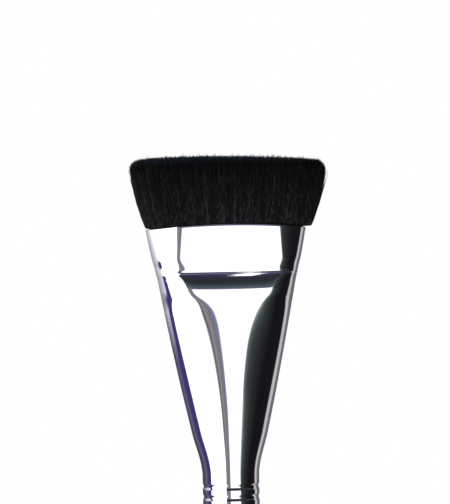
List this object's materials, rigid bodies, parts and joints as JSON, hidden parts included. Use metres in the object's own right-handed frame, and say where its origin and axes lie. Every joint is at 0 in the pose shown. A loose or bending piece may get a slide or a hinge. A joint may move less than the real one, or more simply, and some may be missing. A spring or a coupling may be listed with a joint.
{
  "type": "flat stencil brush",
  "caption": "Flat, straight-cut black filament brush with a flared tuft, a pressed bright metal ferrule and a turned, lacquered wooden handle.",
  "frame": {"origin": "middle of the flat butt of the handle, on the brush's long axis", "axes": "+Z along the handle towards the tuft, +X across the width of the tuft, -Y out of one broad face (the one shown in front)"},
  "size_m": [0.0312, 0.0126, 0.175],
  "materials": {
    "lacquered_wood": "black gloss lacquer on turned hardwood",
    "adhesive": "cured glue line",
    "nickel_plate": "polished nickel plate on brass tube",
    "resin": "cured epoxy",
    "thread": "twisted cotton",
    "filament": "fine black synthetic filaments, cut straight"
  },
  "bodies": {
    "handle_and_ferrule": {"handle": "lacquered_wood", "handle_adhesive": "adhesive", "ferrule": "nickel_plate", "root_resin": "resin", "binding_thread": "thread", "tuft_root": "filament"},
    "bending_tuft": {"tuft": "filament"}
  },
  "joints": [
    {"name": "tuft_bend", "type": "hinge", "parent": "handle_and_ferrule", "child": "bending_tuft", "pos_m": [0, 0, 0.1685], "axis": [1, 0, 0], "range_deg": [-25, 25], "stiffness_Nm_per_rad": 0.08}
  ]
}
